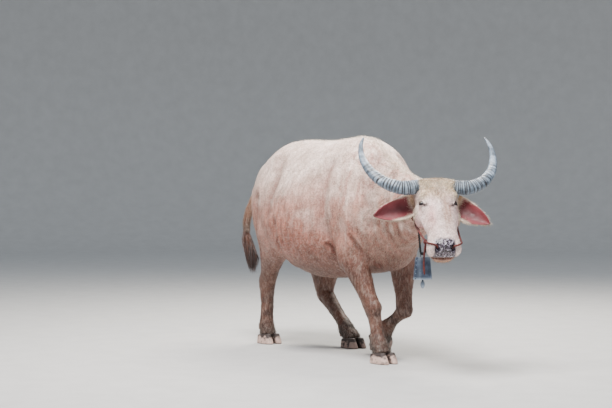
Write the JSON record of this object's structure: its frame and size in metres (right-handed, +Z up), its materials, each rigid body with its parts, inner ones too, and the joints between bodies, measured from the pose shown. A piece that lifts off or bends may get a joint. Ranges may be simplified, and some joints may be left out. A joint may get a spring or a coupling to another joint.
{
  "type": "water buffalo model",
  "caption": "Life-size still model of a pale swamp buffalo in mid stride, with swept horns, split hooves, a nose rope, a neck cord and a cowbell.",
  "frame": {"origin": "centre of the model's footprint box, on the floor under the soles of the hooves", "axes": "+X towards the head, +Y to the animal's left side, +Z up"},
  "size_m": [2.3832, 0.8014, 1.318],
  "materials": {
    "hide": "pale pinkish hide under sparse cream hair",
    "muddy_hide": "hide of the legs, browned by dried mud",
    "horn": "blue-grey ringed horn, satin towards the tip",
    "claw": "pale worn hoof horn",
    "eyeball": "dark and wet",
    "switch_hair": "coarse dark brown hair",
    "collar_cord": "dark twisted cord",
    "rope": "red-brown twisted rope, worn",
    "bell_sheet": "dull blue-grey sheet metal"
  },
  "bodies": {
    "root": {"torso": "hide", "neck": "hide", "head": "hide", "ear_left": "hide", "ear_right": "hide", "tail": "hide", "foreleg_left": "muddy_hide", "foreleg_right": "muddy_hide", "hindleg_left": "muddy_hide", "hindleg_right": "muddy_hide", "tail_switch": "switch_hair", "horn_left": "horn", "horn_right": "horn", "eye_left": "eyeball", "eye_right": "eyeball", "hoof_fore_left_left": "claw", "hoof_fore_left_right": "claw", "hoof_fore_right_left": "claw", "hoof_fore_right_right": "claw", "hoof_hind_left_left": "claw", "hoof_hind_left_right": "claw", "hoof_hind_right_left": "claw", "hoof_hind_right_right": "claw", "dewclaw_fore_left_left": "claw", "dewclaw_fore_left_right": "claw", "dewclaw_fore_right_left": "claw", "dewclaw_fore_right_right": "claw", "dewclaw_hind_left_left": "claw", "dewclaw_hind_left_right": "claw", "dewclaw_hind_right_left": "claw", "dewclaw_hind_right_right": "claw", "collar": "collar_cord", "nose_rope": "rope", "nose_rope_end": "rope", "bell": "bell_sheet", "clapper": "bell_sheet"}
  },
  "joints": []
}
